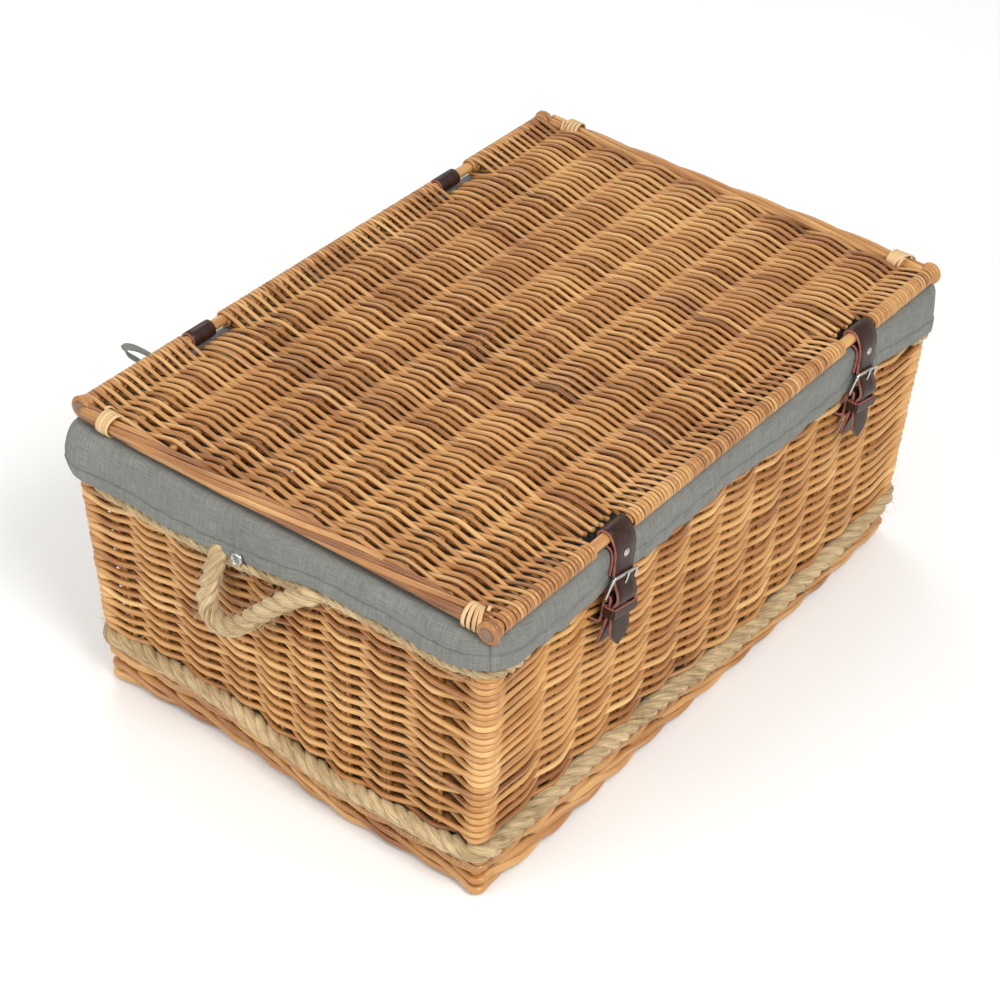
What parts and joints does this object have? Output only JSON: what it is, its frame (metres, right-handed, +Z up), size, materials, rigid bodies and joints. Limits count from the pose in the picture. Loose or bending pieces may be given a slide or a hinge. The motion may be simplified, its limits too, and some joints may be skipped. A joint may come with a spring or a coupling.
{
  "type": "lined wicker hamper",
  "caption": "Rectangular woven willow hamper with a hinged lid, buckled leather straps, rope end handles and a removable cloth liner, for carrying and storing food or linen.",
  "frame": {"origin": "centre of the flat underside, with the lid closed", "axes": "+X along the length, +Z up, -Y towards the side with the buckled straps, +Y towards the lid's hinge"},
  "size_m": [0.6822, 0.4605, 0.2943],
  "materials": {
    "willow": "steamed and varnished willow, semi-gloss",
    "skein": "pale split willow",
    "rope": "hairy three-strand natural fibre",
    "cloth": "matt grey cotton",
    "leather": "dark brown, slightly glossy",
    "nickel": "bright nickel plate"
  },
  "bodies": {
    "basket": {"base_panel": "willow", "foot_front": "willow", "foot_back": "willow", "foot_left": "willow", "foot_right": "willow", "wall_front": "willow", "wall_back": "willow", "wall_left": "willow", "wall_right": "willow", "corner_post_front_left": "willow", "corner_post_front_right": "willow", "corner_post_back_left": "willow", "corner_post_back_right": "willow", "border_front": "willow", "border_back": "willow", "border_left": "willow", "border_right": "willow", "rope_trim_bottom": "rope", "rope_trim_top": "rope", "handle_knot_left_back": "rope", "handle_knot_left_front": "rope", "handle_knot_right_back": "rope", "handle_knot_right_front": "rope", "liner": "cloth", "liner_tie": "cloth", "hinge_strap_left": "leather", "hinge_strap_right": "leather", "lower_strap_left": "leather", "lower_strap_right": "leather", "strap_keeper_left": "leather", "strap_keeper_right": "leather", "press_stud_left": "nickel", "press_stud_right": "nickel", "hinge_rivet_left": "nickel", "hinge_rivet_right": "nickel"},
    "lid": {"lid_panel": "willow", "lid_rod_front": "willow", "lid_rod_back": "willow", "lid_end_left": "willow", "lid_end_right": "willow", "lid_binding_front_left": "skein", "lid_binding_front_right": "skein", "lid_binding_back_left": "skein", "lid_binding_back_right": "skein"},
    "strap_top_left": {"strap_loop_left": "leather", "strap_rivet_left": "nickel"},
    "strap_end_left": {"strap_billet_left": "leather"},
    "buckle_left": {"buckle_frame_left": "nickel"},
    "prong_left": {"buckle_prong_left": "nickel"},
    "handle_left": {"rope_handle_left": "rope"},
    "strap_top_right": {"strap_loop_right": "leather", "strap_rivet_right": "nickel"},
    "strap_end_right": {"strap_billet_right": "leather"},
    "buckle_right": {"buckle_frame_right": "nickel"},
    "prong_right": {"buckle_prong_right": "nickel"},
    "handle_right": {"rope_handle_right": "rope"}
  },
  "joints": [
    {"name": "lid_hinge", "type": "hinge", "parent": "basket", "child": "lid", "pos_m": [0, 0.2075, 0.282], "axis": [-1, 0, 0], "range_deg": [0, 108], "deforming": ["strap_billet_left", "strap_billet_right"]},
    {"name": "strap_hang_left", "type": "hinge", "parent": "lid", "child": "strap_top_left", "pos_m": [-0.16, -0.2075, 0.282], "axis": [-1, 0, 0], "range_deg": [-90, 0]},
    {"name": "strap_flex_left", "type": "hinge", "parent": "strap_top_left", "child": "strap_end_left", "pos_m": [-0.16, -0.218, 0.262], "axis": [-1, 0, 0], "range_deg": [0, 120]},
    {"name": "buckle_swing_left", "type": "hinge", "parent": "basket", "child": "buckle_left", "pos_m": [-0.16665, -0.218, 0.2307], "axis": [0.9781, 0, -0.2079], "range_deg": [0, 40]},
    {"name": "prong_swing_left", "type": "hinge", "parent": "buckle_left", "child": "prong_left", "pos_m": [-0.16665, -0.218, 0.2307], "axis": [0.9781, 0, -0.2079], "range_deg": [0, 45]},
    {"name": "handle_swing_left", "type": "hinge", "parent": "basket", "child": "handle_left", "pos_m": [-0.3242, -0.002, 0.212], "axis": [0, 1, 0], "range_deg": [0, 110]},
    {"name": "strap_hang_right", "type": "hinge", "parent": "lid", "child": "strap_top_right", "pos_m": [0.188, -0.2075, 0.282], "axis": [-1, 0, 0], "range_deg": [-90, 0]},
    {"name": "strap_flex_right", "type": "hinge", "parent": "strap_top_right", "child": "strap_end_right", "pos_m": [0.188, -0.218, 0.262], "axis": [-1, 0, 0], "range_deg": [0, 120]},
    {"name": "buckle_swing_right", "type": "hinge", "parent": "basket", "child": "buckle_right", "pos_m": [0.18135, -0.218, 0.2307], "axis": [0.9781, 0, -0.2079], "range_deg": [0, 40]},
    {"name": "prong_swing_right", "type": "hinge", "parent": "buckle_right", "child": "prong_right", "pos_m": [0.18135, -0.218, 0.2307], "axis": [0.9781, 0, -0.2079], "range_deg": [0, 45]},
    {"name": "handle_swing_right", "type": "hinge", "parent": "basket", "child": "handle_right", "pos_m": [0.3242, -0.002, 0.212], "axis": [0, -1, 0], "range_deg": [0, 110]}
  ],
  "couplings": [
    {"joint": "strap_hang_left", "follows": "lid_hinge", "ratio": -0.8},
    {"joint": "strap_hang_right", "follows": "lid_hinge", "ratio": -0.8}
  ]
}
